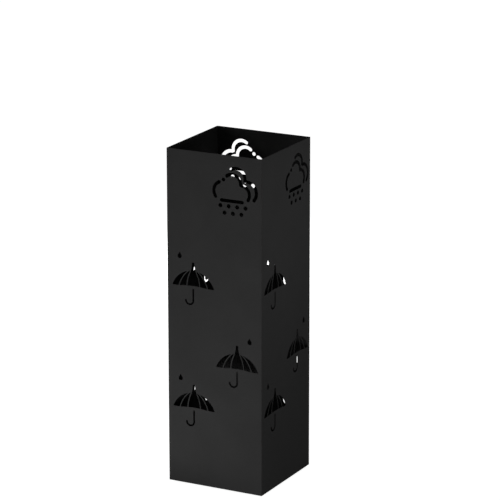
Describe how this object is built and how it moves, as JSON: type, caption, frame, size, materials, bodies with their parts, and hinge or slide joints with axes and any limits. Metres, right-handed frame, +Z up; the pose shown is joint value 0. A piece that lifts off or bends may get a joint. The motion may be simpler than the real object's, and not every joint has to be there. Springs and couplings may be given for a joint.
{
  "type": "umbrella stand",
  "caption": "Tall square umbrella stand of bent sheet steel with cut-out umbrella and rain-cloud motifs, a lift-out drip tray and rubber pads.",
  "frame": {"origin": "on the floor, under the middle of the stand", "axes": "+Z up, the front wall faces -Y, the right wall faces +X"},
  "size_m": [0.149, 0.149, 0.492],
  "materials": {
    "powder_coated_steel": "fine-textured satin black powder coat",
    "tray_plastic": "moulded, lightly grained",
    "pad_rubber": "matte"
  },
  "bodies": {
    "frame": {"shell_front_right": "powder_coated_steel", "shell_back_left": "powder_coated_steel", "base_pan": "powder_coated_steel", "foot_pad_front_right": "pad_rubber", "foot_pad_back_right": "pad_rubber", "foot_pad_back_left": "pad_rubber", "foot_pad_front_left": "pad_rubber"},
    "tray": {"drip_tray": "tray_plastic"}
  },
  "joints": [
    {"name": "tray_lift", "type": "slide", "parent": "frame", "child": "tray", "axis": [0, 0, 1], "range_m": [0, 0.5]}
  ]
}
